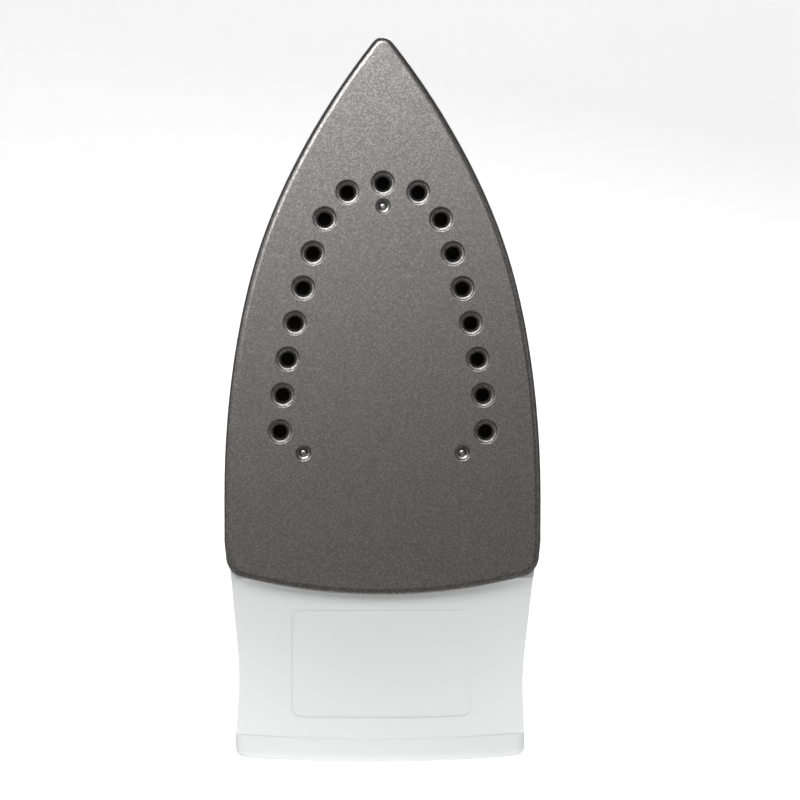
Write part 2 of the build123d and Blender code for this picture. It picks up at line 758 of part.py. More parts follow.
def heel_outline(inset=0.0):
    """Sketch of the heel cover's outline on the station plane: bowed underside, leaning sides, rounded top."""
    with BuildSketch(mode=Mode.PRIVATE) as sketch:
        with BuildLine():
            low, corner = 12.1 + inset, (foot_half - inset, 29.6 + inset * 0.7)
            ThreePointArc((-corner[0], corner[1]), (0, low), corner)
            flank = [corner, (foot_half - 0.4 - inset, 34), (50.8 - inset, 46), (44.6 - inset, 58), (34.5 - inset, 78),
                     (29.0 - inset, 93 - inset)]
            Spline(*flank, tangents=[(0.0, 1), (-0.38, 1)])
            Line(flank[-1], (-flank[-1][0], flank[-1][1]))
            Spline(*[(-w, h) for w, h in reversed(flank)], tangents=[(-0.38, -1), (0.0, -1)])
        make_face()
        tops = [v for v in sketch.vertices() if v.Y > 90 - inset]
        fillet(tops, radius=14 - inset)
        lows = [v for v in sketch.vertices() if v.Y < 36 and abs(v.X) > 40]
        fillet(lows, radius=9 - inset)
    return sketch.sketch


with BuildPart() as rear_cover:
    with BuildSketch(across(heel_seam)):
        add(heel_outline())
    extrude(amount=-heel_seam)
    fillet(rear_cover.faces().sort_by(Axis.Z)[0].edges(), radius=3.2)
    with BuildSketch(across(heel_seam)):
        add(heel_outline(2.5))
    extrude(amount=-(heel_seam - 2.5), mode=Mode.SUBTRACT)
    for w, height in cover_screws:
        add(along(1.0, heel_seam, w, height, 5.0))
    for w, height in cover_screws:
        add(along(-1, heel_seam + 1, w, height, 1.8), mode=Mode.SUBTRACT)
        add(along(-1, 5.0, w, height, 3.6), mode=Mode.SUBTRACT)
write(rear_cover, "rear_cover")

with BuildPart() as rear_cover_screws:
    for w, height in cover_screws:
        add(along(5.0, web_station - 2, w, height, 1.55))
        add(along(2.6, 5.0, w, height, 3.3))
write(rear_cover_screws, "rear_cover_screws")

# ------------------------------------------------------------------ handle cover and grip
grip_pad_span = (62.0, 148.0)
grip_pad_half = 13.5
slot_half = 3.4
slider_shank = 14.0
button_length = 20.0
button_width = 12.0
gland_radius = 6.5
cover_low = handle_split + 0.3

pad_middle = (grip_pad_span[0] + grip_pad_span[1]) / 2
pad_length = grip_pad_span[1] - grip_pad_span[0]
slot_length = slider_shank + slider_travel + 1.2
slot_middle = slider_station + slider_travel / 2

with BuildPart() as handle_cover:
    add(loop_outside)
    add(loop_inside, mode=Mode.SUBTRACT)
    for s in handle_screw_stations:
        add(loop_outside & rod(s, 0, cover_low, 128.2, 3.6))
    add(slice_between(cover_low, 150), mode=Mode.INTERSECT)
    add(prism(110, 30, pad_length + 0.3, 2 * grip_pad_half + 0.3, pad_middle, 9.1) - handle(1.0),
        mode=Mode.SUBTRACT)
    add(prism(110, 30, slot_length, 2 * slot_half, slot_middle, 3.0), mode=Mode.SUBTRACT)
    for w in (button_side, -button_side):
        add(prism(108, 30, button_length + 0.6, button_width + 0.6, button_station, 3.3, w),
            mode=Mode.SUBTRACT)
    add(prism(110, 30, 11.3, 8.3, lens_station, 4.1), mode=Mode.SUBTRACT)
    add(rod(gland_station, 0, 108, 140, gland_radius + 0.4), mode=Mode.SUBTRACT)
    for s in handle_screw_stations:
        add(rod(s, 0, cover_low, 122, 1.6), mode=Mode.SUBTRACT)
write(handle_cover, "handle_cover")

with BuildPart() as grip_pad:
    add(handle(-0.35))
    add(handle(1.0), mode=Mode.SUBTRACT)
    add(prism(110, 30, pad_length, 2 * grip_pad_half, pad_middle, 9), mode=Mode.INTERSECT)
write(grip_pad, "grip_pad")

with BuildPart() as handle_screws:
    for s in handle_screw_stations:
        add(rod(s, 0, 101.5, 119, 1.55))
        add(rod(s, 0, 99.4, 101.5, 3.2))
write(handle_screws, "handle_screws")

with BuildPart() as pilot_lens:
    add(handle(-0.6))
    add(handle(2.0), mode=Mode.SUBTRACT)
    add(prism(110, 30, 11, 8, lens_station, 3.95), mode=Mode.INTERSECT)
    flange = handle(2.25) & prism(110, 30, 14, 10, lens_station, 4.5)
    add(flange - handle(3.4))
    add((handle(1.9) - handle(2.6)) & prism(110, 30, 10.6, 7.6, lens_station, 3.7))
write(pilot_lens, "pilot_lens")

with BuildPart() as pilot_lamp:
    add(rod(lens_station, 0, 105.05, 107, 3.6))
    add(rod(lens_station, 0, 107, 118, 2.3))
    fillet(pilot_lamp.faces().sort_by(Axis.Y)[-1].edges(), radius=1.6)
write(pilot_lamp, "pilot_lamp")

# ------------------------------------------------------------------ supply inside the heel
lead_height = 60.5
lead_start = 44.6
block_low = shelf_low[0] + shelf_thickness + 0.05

with BuildPart() as terminal_block:
    add(prism(block_low, 10, 16, 36, 36, 1.5))
    for w in (-11, 0, 11):
        add(rod(36, w, 58, 70, 2.3), mode=Mode.SUBTRACT)
        add(along(40, 45, w, lead_height, 1.6), mode=Mode.SUBTRACT)
write(terminal_block, "terminal_block")

with BuildPart() as terminal_screws:
    for w in (-11, 0, 11):
        add(rod(36, w, 58.1, 64.5, 2.1))
        add(prism(64.5, -0.8, 0.8, 3.4, 36, 0.3, w), mode=Mode.SUBTRACT)
write(terminal_screws, "terminal_screws")


def lead(stops, radius):
    """Insulated wire through stops given as (station, across, height)."""
    with BuildPart(mode=Mode.PRIVATE) as wire:
        with BuildLine() as route:
            FilletPolyline(*[(w, h - sole_offset, s) for s, w, h in stops], radius=3.0)
        with BuildSketch(Plane(origin=route.line @ 0, z_dir=route.line % 0)):
            Circle(radius)
        sweep(path=route.line)
    return wire.part


wires = {
    "lead_live": ([(lead_start, 0, lead_height), (57, 0, lead_height), (57, 0, 22), (89.6, 0, 18.3)], 1.3),
    "lead_neutral": ([(lead_start, 11, lead_height), (57, 11, lead_height), (57, 20, 13.0), (67.8, 20, 11.2)], 1.3),
    "lead_earth": ([(lead_start, -11, lead_height), (57, -11, lead_height), (57, -29, 12.5), (79.6, -34, 10.2)],
                   1.3),
    "lead_link": ([(89.8, -2.6, 22.4), (80, -9, 24), (64, -20, 20), (64, -20, 12.2), (67.8, -20, 11.2)], 1.0),
}
for name, (stops, radius) in wires.items():
    with BuildPart() as wire:
        add(lead(stops, radius))
    write(wire, name)

# ------------------------------------------------------------------ spray and burst of water
pump_radius = 6.0
pump_low = 72.0
pump_high = 98.0
spring_high = 108.0
piston_top = 92.0

with BuildPart() as spray_nozzle:
    add(along(214.5, 223.8, 0, nozzle_height, nozzle_radius))
    add(along(223.8, 225.8, 0, nozzle_height, 5.6))
    fillet(spray_nozzle.faces().sort_by(Axis.Z)[-1].edges(), radius=1.2)
    add(along(213, 227, 0, nozzle_height, 0.6), mode=Mode.SUBTRACT)
    add(along(222.4, 227, 0, nozzle_height, 2.2), mode=Mode.SUBTRACT)
    add(along(214, 216.5, 0, nozzle_height, 1.55), mode=Mode.SUBTRACT)
write(spray_nozzle, "spray_nozzle")

with BuildPart() as pump_bracket:
    add(prism(bracket_height + 0.05, 2.0, 23, 31, 198.5, 1.0))
    for w in (button_side, -button_side):
        add(rod(button_station, w, 78, 84, pump_radius + 0.05), mode=Mode.SUBTRACT)
    add(prism(78, 6, 8, 4.4, 188, 0.5, -button_side), mode=Mode.SUBTRACT)
write(pump_bracket, "pump_bracket")

for name, w in (("spray_pump", button_side), ("burst_pump", -button_side)):
    with BuildPart() as pump:
        add(rod(button_station, w, pump_low, pump_high, pump_radius))
        add(rod(button_station, w, bracket_height + 2.1, bracket_height + 3.3, pump_radius + 0.9))
        add(rod(button_station, w, pump_low + 2, pump_high - 2, pump_radius - 1.2), mode=Mode.SUBTRACT)
        add(rod(button_station, w, pump_low - 1, pump_high + 1, 2.2), mode=Mode.SUBTRACT)
    write(pump, name)

with BuildPart() as pump_intake_tubes:
    for w in (button_side, -button_side):
        add(rod(button_station, w, 32, pump_low + 1.8, 1.8))
        add(rod(button_station, w, 30, 80, 1.1), mode=Mode.SUBTRACT)
write(pump_intake_tubes, "pump_intake_tubes")

with BuildPart() as spray_tube:
    stops = [(216.4, 0, nozzle_height), (210.5, 0, nozzle_height), (210.5, button_side, nozzle_height + 3.5),
             (206.1, button_side, nozzle_height + 3.5)]
    with BuildLine() as route:
        FilletPolyline(*[(w, h - sole_offset, s) for s, w, h in stops], radius=2.0)
    with BuildSketch(Plane(origin=route.line @ 0, z_dir=route.line % 0)):
        Circle(1.4)
    sweep(path=route.line)
write(spray_tube, "spray_tube")

with BuildPart() as burst_tube:
    stops = [(burst_feed[0], burst_feed[1], 15.0), (burst_feed[0], burst_feed[1], 87.5),
             (button_station - pump_radius - 0.1, burst_feed[1], 87.5)]
    with BuildLine() as route:
        FilletPolyline(*[(w, h - sole_offset, s) for s, w, h in stops], radius=2.5)
    with BuildSketch(Plane(origin=route.line @ 0, z_dir=route.line % 0)):
        Circle(1.75)
    sweep(path=route.line)
write(burst_tube, "burst_tube")

for name, w in (("spray_button", button_side), ("burst_button", -button_side)):
    with BuildPart() as button:
        add(handle(-2.6))
        add(slice_between(spring_high, 150), mode=Mode.INTERSECT)
        add(prism(100, 40, button_length, button_width, button_station, 3, w), mode=Mode.INTERSECT)
        add(prism(spring_high, 1.5, button_length + 2, button_width + 0.5, button_station, 3, w * 0.985))
    write(button, name)

for name, w in (("spray_piston", button_side), ("burst_piston", -button_side)):
    with BuildPart() as piston:
        add(rod(button_station, w, piston_top - 4, spring_high, 1.95))
        add(rod(button_station, w, piston_top - 4, piston_top, pump_radius - 1.3))
    write(piston, name)

spring_turns = 5
for name, w in (("spray_spring", button_side), ("burst_spring", -button_side)):
    spring_pitch = (spring_high - pump_high - 1.0) / spring_turns
    with BuildPart() as spring:
        with BuildLine() as coil:
            Helix(pitch=spring_pitch, height=spring_pitch * spring_turns, radius=3.9,
                  center=(w, pump_high + 0.5 - sole_offset, button_station), direction=(0, 1, 0))
        with BuildSketch(Plane(origin=coil.line @ 0, z_dir=coil.line % 0)):
            Circle(0.4)
        sweep(path=coil.line, is_frenet=True)
    write(spring, name)

# ------------------------------------------------------------------ controls
dial_low = tank_top + 1.2
dial_high = tank_top + 10.4

with BuildPart() as dial_scale:
    with BuildSketch(level(tank_top)):
        with Locations((dial_station, 0)):
            Circle(31)
            Circle(dial_radius + 1.0, mode=Mode.SUBTRACT)
    extrude(amount=1.0)
write(dial_scale, "dial_scale")

with BuildPart() as temperature_dial:
    with BuildSketch(level(dial_low)):
        with Locations((dial_station, 0)):
            Circle(dial_radius)
    extrude(amount=dial_high - dial_low)
    fillet(temperature_dial.faces().sort_by(Axis.Y)[-1].edges(), radius=2.2)
    with BuildSketch(level(dial_low + 2.0)):
        with Locations((dial_station, 0)):
            with PolarLocations(dial_radius + 1.1, 26):
                Circle(1.9)
    extrude(amount=20, mode=Mode.SUBTRACT)
    with BuildSketch(level(dial_low)):
        with Locations((dial_station, 0)):
            Circle(dial_radius - 2.2)
            Circle(5.0, mode=Mode.SUBTRACT)
    extrude(amount=dial_high - dial_low - 2.4, mode=Mode.SUBTRACT)
    with BuildSketch(level(dial_high - 1.0)):
        with Locations((dial_station - 14, 0)):
            RectangleRounded(13, 2.4, 1.1)
    extrude(amount=1.8)
    with BuildSketch(level(0)):
        with Locations((dial_station, 0)):
            Circle(3.05)
    extrude(amount=dial_low + 4.0, mode=Mode.SUBTRACT)
write(temperature_dial, "temperature_dial")

with BuildPart() as thermostat_spindle:
    add(rod(dial_station, 0, 22.7, dial_low + 3.9, 3.0))
    add(rod(dial_station, 0, 29.0, 30.4, 4.6))
write(thermostat_spindle, "thermostat_spindle")

knob_low = 129.2
carriage_low = 119.8
carriage_depth = 3.0
ramp = rod_lift / slider_travel
pin_height = 110.6
pin_radius = 1.2
fork_inside = 2.3  # half of the gap between the fork's two blades
fork_outside = 4.5
fork_start = slider_station - 0.5  # the blades hang here, clear of the pin at the end of the slide
fork_end = rod_station + 2.6


def fork_height(station):
    """Height of the ramp's upper edge when the knob is at rest."""
    return pin_height - pin_radius - 0.15 + (rod_station - station) * ramp


with BuildPart() as steam_knob:
    add(prism(carriage_low, carriage_depth, 22, 12, slider_station, 2))
    add(prism(carriage_low, knob_low - carriage_low + 1, slider_shank, 2 * slot_half - 0.6, slider_station, 2.5))
    with BuildSketch(level(knob_low)):
        with Locations((slider_station, 0)):
            RectangleRounded(18, 11, 3)
    extrude(amount=4.2, taper=8)
    for ridge in (-4.5, -1.5, 1.5, 4.5):
        add(prism(knob_low + 3.6, 1.4, 1.2, 7, slider_station + ridge, 0.55))
    outline = [(fork_start, carriage_low + 1), (fork_start, fork_height(fork_end) - 1.2),
               (fork_end, fork_height(fork_end) - 1.2), (fork_end, fork_height(fork_end)),
               (fork_start + 3, fork_height(fork_start + 3)), (fork_start + 3, carriage_low + 1)]
    fork = profile_block(outline, fork_outside) - profile_block(outline, fork_inside)
    add(fork)
write(steam_knob, "steam_knob")

with BuildPart() as steam_rod:
    add(rod(rod_station, 0, 14.9, 113.0, 1.5))
    with BuildSketch(Plane(origin=(-5.0, pin_height - sole_offset, rod_station), z_dir=(1, 0, 0))):
        Circle(pin_radius)
    extrude(amount=10)
write(steam_rod, "steam_rod")

with BuildPart() as cord_gland:
    add(rod(gland_station, 0, 105.3, 107.3, 8.5))
    add(rod(gland_station, 0, 105.3, 123.0, gland_radius))
    with BuildSketch(level(123.0)):
        with Locations((gland_station, 0)):
            Circle(gland_radius)
    extrude(amount=6.0, taper=9)
    for height in (124.0, 126.0):
        with BuildSketch(level(height)):
            with Locations((gland_station, 0)):
                Circle(gland_radius + 1)
                Circle(5.0, mode=Mode.SUBTRACT)
        extrude(amount=0.9, mode=Mode.SUBTRACT)
    add(rod(gland_station, 0, 100, 140, 3.6), mode=Mode.SUBTRACT)
write(cord_gland, "cord_gland")
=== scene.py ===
import bmesh
import bpy
import numpy as np
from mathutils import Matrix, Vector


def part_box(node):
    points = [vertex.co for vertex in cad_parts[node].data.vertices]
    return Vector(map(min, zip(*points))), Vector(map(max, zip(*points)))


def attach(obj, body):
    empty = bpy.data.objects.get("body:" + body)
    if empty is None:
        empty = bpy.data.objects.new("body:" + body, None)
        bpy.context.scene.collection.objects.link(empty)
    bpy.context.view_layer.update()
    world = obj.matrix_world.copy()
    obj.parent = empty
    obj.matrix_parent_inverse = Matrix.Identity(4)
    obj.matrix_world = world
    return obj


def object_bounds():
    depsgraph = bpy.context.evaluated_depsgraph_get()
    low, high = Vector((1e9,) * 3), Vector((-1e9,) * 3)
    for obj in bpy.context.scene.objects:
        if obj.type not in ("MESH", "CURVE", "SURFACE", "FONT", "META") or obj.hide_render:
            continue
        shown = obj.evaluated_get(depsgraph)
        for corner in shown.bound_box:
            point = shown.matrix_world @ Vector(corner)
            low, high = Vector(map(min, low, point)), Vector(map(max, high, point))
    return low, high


bl_info = {
    "name": "Steam Iron Pieces",
    "version": (1, 0, 0),
    "blender": (4, 5, 0),
    "location": "3D View > Sidebar > Iron",
    "description": "Finishes, marks and studio stage for a steam iron built round its frame",
    "category": "Add Mesh",
}

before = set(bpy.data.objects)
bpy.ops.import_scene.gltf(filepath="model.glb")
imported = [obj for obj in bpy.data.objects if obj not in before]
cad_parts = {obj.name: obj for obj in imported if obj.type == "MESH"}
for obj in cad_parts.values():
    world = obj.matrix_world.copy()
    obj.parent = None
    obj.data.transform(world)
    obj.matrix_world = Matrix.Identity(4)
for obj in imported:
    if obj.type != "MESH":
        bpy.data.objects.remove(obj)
cad_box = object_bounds()

MM = 0.001
SOLE_PLANE = -0.066  # the sole's face, along Y
BEDDED = 0.25 * MM  # how far a laid-on mark or rib reaches down into the face under it


# ---------------------------------------------------------------- numpy surfaces
def sheet_faces(rows, columns):
    """Quad indices of a grid of rows by columns."""
    i, j = np.meshgrid(np.arange(rows - 1), np.arange(columns - 1), indexing="ij")
    corner = i * columns + j
    quads = np.stack([corner, corner + 1, corner + columns + 1, corner + columns], axis=-1)
    return quads.reshape(-1, 4)


def make_piece(name, points, faces, material, smooth=True):
    """Mesh object from an array of points and an array of face indices, in metres in the frame."""
    mesh = bpy.data.meshes.new(name)
    mesh.from_pydata(points.reshape(-1, 3).tolist(), [], faces.tolist())
    mesh.polygons.foreach_set("use_smooth", np.full(len(mesh.polygons), smooth))
    mesh.materials.append(material)
    mesh.update()
    piece = bpy.data.objects.new(name, mesh)
    bpy.context.collection.objects.link(piece)
    return piece


def heights_on(target, x, z):
    """Heights of a CAD node's outer face over a grid of x and z: a flat sheet dropped onto it along -Y."""
    high = np.full_like(x, cad_box[1][1] + 0.01)
    mesh = bpy.data.meshes.new("drop")
    mesh.from_pydata(np.stack([x, high, z], axis=-1).reshape(-1, 3).tolist(), [], [])
    sheet = bpy.data.objects.new("drop", mesh)
    bpy.context.collection.objects.link(sheet)
    fall = sheet.modifiers.new("fall", "SHRINKWRAP")
    fall.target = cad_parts[target]
    fall.wrap_method = "PROJECT"
    fall.use_project_y = True
    fall.use_positive_direction = False
    fall.use_negative_direction = True
    fallen = sheet.evaluated_get(bpy.context.evaluated_depsgraph_get()).data
    places = np.empty(x.size * 3)
    fallen.vertices.foreach_get("co", places)
    bpy.data.objects.remove(sheet)
    bpy.data.meshes.remove(mesh)
    return places.reshape(*x.shape, 3)[..., 1]


def slab(x, z, low, high):
    """Closed pad over a grid of x and z: its top at the heights high, its underside at the heights low.

    Points and faces; the rim joins the two sheets along the grid's four edges.
    """
    rows, columns = x.shape
    sheets = np.stack([np.stack([x, low, z], axis=-1), np.stack([x, high, z], axis=-1)])
    index = np.arange(rows * columns).reshape(rows, columns)
    rim = np.concatenate([index[0, :-1], index[:-1, -1], index[-1, :0:-1], index[:0:-1, 0]])
    after = np.roll(rim, -1)
    top = rows * columns
    side = np.stack([rim, after, after + top, rim + top], axis=-1)
    flat = sheet_faces(rows, columns)
    return sheets.reshape(-1, 3), np.concatenate([flat, flat[:, ::-1] + top, side[:, ::-1]])


def joined(parts):
    """Points and faces of several closed pads put together."""
    starts = np.cumsum([0] + [len(points) for points, _ in parts[:-1]])
    points = np.concatenate([points for points, _ in parts])
    return points, np.concatenate([faces + start for (_, faces), start in zip(parts, starts)])


def closed_right_way(piece):
    """Merge doubles and turn every face outwards."""
    mesh = bmesh.new()
    mesh.from_mesh(piece.data)
    bmesh.ops.remove_doubles(mesh, verts=mesh.verts, dist=1e-6)
    bmesh.ops.recalc_face_normals(mesh, faces=mesh.faces)
    mesh.to_mesh(piece.data)
    mesh.free()


# ---------------------------------------------------------------- shader groups
def new_group(name, inputs, outputs):
    """Empty shader node group with named sockets, given as (name, type, default)."""
    tree = bpy.data.node_groups.new(name, "ShaderNodeTree")
    for label, kind, default in inputs:
        made = tree.interface.new_socket(label, in_out="INPUT", socket_type=kind)
        if default is not None:
            made.default_value = default
    for label, kind in outputs:
        tree.interface.new_socket(label, in_out="OUTPUT", socket_type=kind)
    return tree, tree.nodes.new("NodeGroupInput"), tree.nodes.new("NodeGroupOutput")


def node(tree, kind, settings=None, **values):
    """Node with attributes from settings and plain socket values by name, with _ for a space."""
    made = tree.nodes.new(kind)
    for key, value in (settings or {}).items():
        setattr(made, key, value)
    for key, value in values.items():
        made.inputs[key.replace("_", " ")].default_value = value
    return made


def math_node(tree, operation, first, second=None, clamp=False):
    """Math node whose inputs are sockets or numbers."""
    made = tree.nodes.new("ShaderNodeMath")
    made.operation = operation
    made.use_clamp = clamp
    for socket, value in zip(made.inputs, (first, second)):
        if value is None:
            continue
        if isinstance(value, (int, float)):
            socket.default_value = value
        else:
            tree.links.new(value, socket)
    return made.outputs[0]


def finish_group():
    """Finish: a fine grain over broad soft patches, for colour, roughness and relief alike."""
    tree, source, sink = new_group(
        "finish_grain",
        [("Vector", "NodeSocketVector", None), ("Tone", "NodeSocketColor", (0.5, 0.5, 0.5, 1)),
         ("Grain Size", "NodeSocketFloat", 1000.0), ("Grain Contrast", "NodeSocketFloat", 0.1),
         ("Patch Size", "NodeSocketFloat", 20.0), ("Patch Contrast", "NodeSocketFloat", 0.04),
         ("Roughness", "NodeSocketFloat", 0.5), ("Roughness Spread", "NodeSocketFloat", 0.1)],
        [("Color", "NodeSocketColor"), ("Roughness", "NodeSocketFloat"), ("Height", "NodeSocketFloat")],
    )
    link = tree.links.new
    fine = node(tree, "ShaderNodeTexNoise", Detail=3.0, Roughness=0.65)
    broad = node(tree, "ShaderNodeTexNoise", Detail=2.0, Roughness=0.5)
    link(source.outputs["Vector"], fine.inputs["Vector"])
    link(source.outputs["Vector"], broad.inputs["Vector"])
    link(source.outputs["Grain Size"], fine.inputs["Scale"])
    link(source.outputs["Patch Size"], broad.inputs["Scale"])
    fine_signed = math_node(tree, "SUBTRACT", fine.outputs["Fac"], 0.5)
    broad_signed = math_node(tree, "SUBTRACT", broad.outputs["Fac"], 0.5)
    fine_part = math_node(tree, "MULTIPLY", fine_signed, source.outputs["Grain Contrast"])
    broad_part = math_node(tree, "MULTIPLY", broad_signed, source.outputs["Patch Contrast"])
    level = math_node(tree, "ADD", math_node(tree, "ADD", fine_part, broad_part), 1.0)
    tint = node(tree, "ShaderNodeVectorMath", {"operation": "SCALE"})
    link(source.outputs["Tone"], tint.inputs[0])
    link(level, tint.inputs["Scale"])
    link(tint.outputs[0], sink.inputs["Color"])
    spread = math_node(tree, "MULTIPLY", math_node(tree, "ADD", fine_signed, broad_signed),
                       source.outputs["Roughness Spread"])
    rough = math_node(tree, "ADD", source.outputs["Roughness"], spread, clamp=True)
    link(rough, sink.inputs["Roughness"])
    link(fine.outputs["Fac"], sink.inputs["Height"])
    return tree


def coating_group():
    """Non-stick coating: light flakes scattered in a darker base, with a pebbled relief."""
    tree, source, sink = new_group(
        "coating_flakes",
        [("Vector", "NodeSocketVector", None), ("Base", "NodeSocketColor", (0.2, 0.2, 0.2, 1)),
         ("Flake", "NodeSocketColor", (0.6, 0.6, 0.6, 1)), ("Flake Size", "NodeSocketFloat", 1500.0)],
        [("Color", "NodeSocketColor"), ("Roughness", "NodeSocketFloat"), ("Height", "NodeSocketFloat")],
    )
    link = tree.links.new
    cells = node(tree, "ShaderNodeTexVoronoi", {"feature": "F1"}, Randomness=1.0)
    cloud = node(tree, "ShaderNodeTexNoise", Detail=4.0, Roughness=0.7)
    link(source.outputs["Vector"], cells.inputs["Vector"])
    link(source.outputs["Vector"], cloud.inputs["Vector"])
    link(source.outputs["Flake Size"], cells.inputs["Scale"])
    link(math_node(tree, "MULTIPLY", source.outputs["Flake Size"], 0.55), cloud.inputs["Scale"])
    separate = tree.nodes.new("ShaderNodeSeparateColor")
    link(cells.outputs["Color"], separate.inputs["Color"])
    lit = node(tree, "ShaderNodeMapRange", {"interpolation_type": "SMOOTHSTEP"}, From_Min=0.45, From_Max=0.95)
    link(separate.outputs["Red"], lit.inputs["Value"])
    cloudy = node(tree, "ShaderNodeMapRange", From_Min=0.3, From_Max=0.7, To_Min=0.0, To_Max=0.55)
    link(cloud.outputs["Fac"], cloudy.inputs["Value"])
    share = math_node(tree, "MULTIPLY", math_node(tree, "ADD", lit.outputs[0], cloudy.outputs[0]), 0.6,
                      clamp=True)
    mix = tree.nodes.new("ShaderNodeMix")
    mix.data_type = "RGBA"
    link(share, mix.inputs["Factor"])
    link(source.outputs["Base"], mix.inputs[6])
    link(source.outputs["Flake"], mix.inputs[7])
    link(mix.outputs[2], sink.inputs["Color"])
    link(math_node(tree, "ADD", math_node(tree, "MULTIPLY", share, -0.1), 0.4), sink.inputs["Roughness"])
    link(math_node(tree, "ADD", cloud.outputs["Fac"], math_node(tree, "MULTIPLY", lit.outputs[0], 0.4)),
         sink.inputs["Height"])
    return tree


finish_tree = finish_group()
coating_tree = coating_group()


def shader(name):
    """New material with its Principled shader and object coordinates."""
    material = bpy.data.materials.new(name)
    material.use_nodes = True
    tree = material.node_tree
    place = tree.nodes.new("ShaderNodeTexCoord").outputs["Object"]
    return material, tree, tree.nodes["Principled BSDF"], place


def relief(tree, height, strength, distance, bsdf):
    """Bump from a height into the shader's Normal."""
    bump = node(tree, "ShaderNodeBump", Strength=strength, Distance=distance)
    tree.links.new(height, bump.inputs["Height"])
    tree.links.new(bump.outputs["Normal"], bsdf.inputs["Normal"])


def grained(name, tone, roughness, grain=1400.0, contrast=0.05, patch=25.0, patch_contrast=0.03, bump=0.1,
            spread=0.08, metallic=0.0, coat=0.0, **sockets):
    """Material of one tone under the shared grain; more keywords set the shader's own sockets."""
    material, tree, bsdf, place = shader(name)
    group = node(tree, "ShaderNodeGroup", {"node_tree": finish_tree}, Tone=(*tone, 1), Grain_Size=grain,
                 Grain_Contrast=contrast, Patch_Size=patch, Patch_Contrast=patch_contrast,
                 Roughness=roughness, Roughness_Spread=spread)
    tree.links.new(place, group.inputs["Vector"])
    tree.links.new(group.outputs["Color"], bsdf.inputs["Base Color"])
    tree.links.new(group.outputs["Roughness"], bsdf.inputs["Roughness"])
    relief(tree, group.outputs["Height"], bump, 0.0001, bsdf)
    bsdf.inputs["Metallic"].default_value = metallic
    bsdf.inputs["Coat Weight"].default_value = coat
    for key, value in sockets.items():
        bsdf.inputs[key.replace("_", " ")].default_value = value
    material.diffuse_color = (*tone, 1)
    return material


def coated(name, base, flake, size, metallic):
    """Coated metal of the soleplate."""
    material, tree, bsdf, place = shader(name)
    group = node(tree, "ShaderNodeGroup", {"node_tree": coating_tree}, Base=(*base, 1), Flake=(*flake, 1),
                 Flake_Size=size)
    tree.links.new(place, group.inputs["Vector"])
    tree.links.new(group.outputs["Color"], bsdf.inputs["Base Color"])
    tree.links.new(group.outputs["Roughness"], bsdf.inputs["Roughness"])
    relief(tree, group.outputs["Height"], 0.25, 0.0001, bsdf)
    bsdf.inputs["Metallic"].default_value = metallic
    return material


# ---------------------------------------------------------------- properties
class SoleSettings(bpy.types.PropertyGroup):
    base: bpy.props.FloatVectorProperty(
        name="Coating", description="Base tone of the soleplate's coating", subtype="COLOR", size=3,
        default=(0.225, 0.214, 0.206), min=0, max=1)
    flake: bpy.props.FloatVectorProperty(
        name="Flakes", description="Tone of the flakes in the coating", subtype="COLOR", size=3,
        default=(0.6, 0.578, 0.56), min=0, max=1)
    flake_size: bpy.props.FloatProperty(
        name="Flake density", description="Flakes per metre", default=2500.0, min=100)


class ShellSettings(bpy.types.PropertyGroup):
    white: bpy.props.FloatVectorProperty(
        name="Shell", description="Tone of the white mouldings", subtype="COLOR", size=3,
        default=(0.80, 0.81, 0.81), min=0, max=1)
    tank: bpy.props.FloatVectorProperty(
        name="Tank", description="Tint of the water tank", subtype="COLOR", size=3,
        default=(0.66, 0.84, 0.95), min=0, max=1)
    grip: bpy.props.FloatVectorProperty(
        name="Grip", description="Tone of the soft grip", subtype="COLOR", size=3,
        default=(0.085, 0.095, 0.105), min=0, max=1)
    control: bpy.props.FloatVectorProperty(
        name="Controls", description="Tone of the buttons and sliders", subtype="COLOR", size=3,
        default=(0.16, 0.175, 0.19), min=0, max=1)


class MarkSettings(bpy.types.PropertyGroup):
    ribs: bpy.props.IntProperty(
        name="Grip ribs", description="Number of ribs across the grip", default=15, min=3)
    rib_width: bpy.props.FloatProperty(
        name="Rib width", description="Width of one grip rib", default=2.6 * MM, unit="LENGTH")
    rib_rise: bpy.props.FloatProperty(
        name="Rib rise", description="Height of a grip rib over the pad", default=0.5 * MM, unit="LENGTH")
    ink: bpy.props.FloatVectorProperty(
        name="Dial print", description="Tone of the marks round the dial", subtype="COLOR", size=3,
        default=(0.03, 0.04, 0.055), min=0, max=1)
    ink_rise: bpy.props.FloatProperty(
        name="Print rise", description="Thickness of the print", default=0.12 * MM, unit="LENGTH")
    button_ink: bpy.props.FloatVectorProperty(
        name="Button print", description="Tone of the marks on the buttons", subtype="COLOR", size=3,
        default=(0.72, 0.73, 0.74), min=0, max=1)


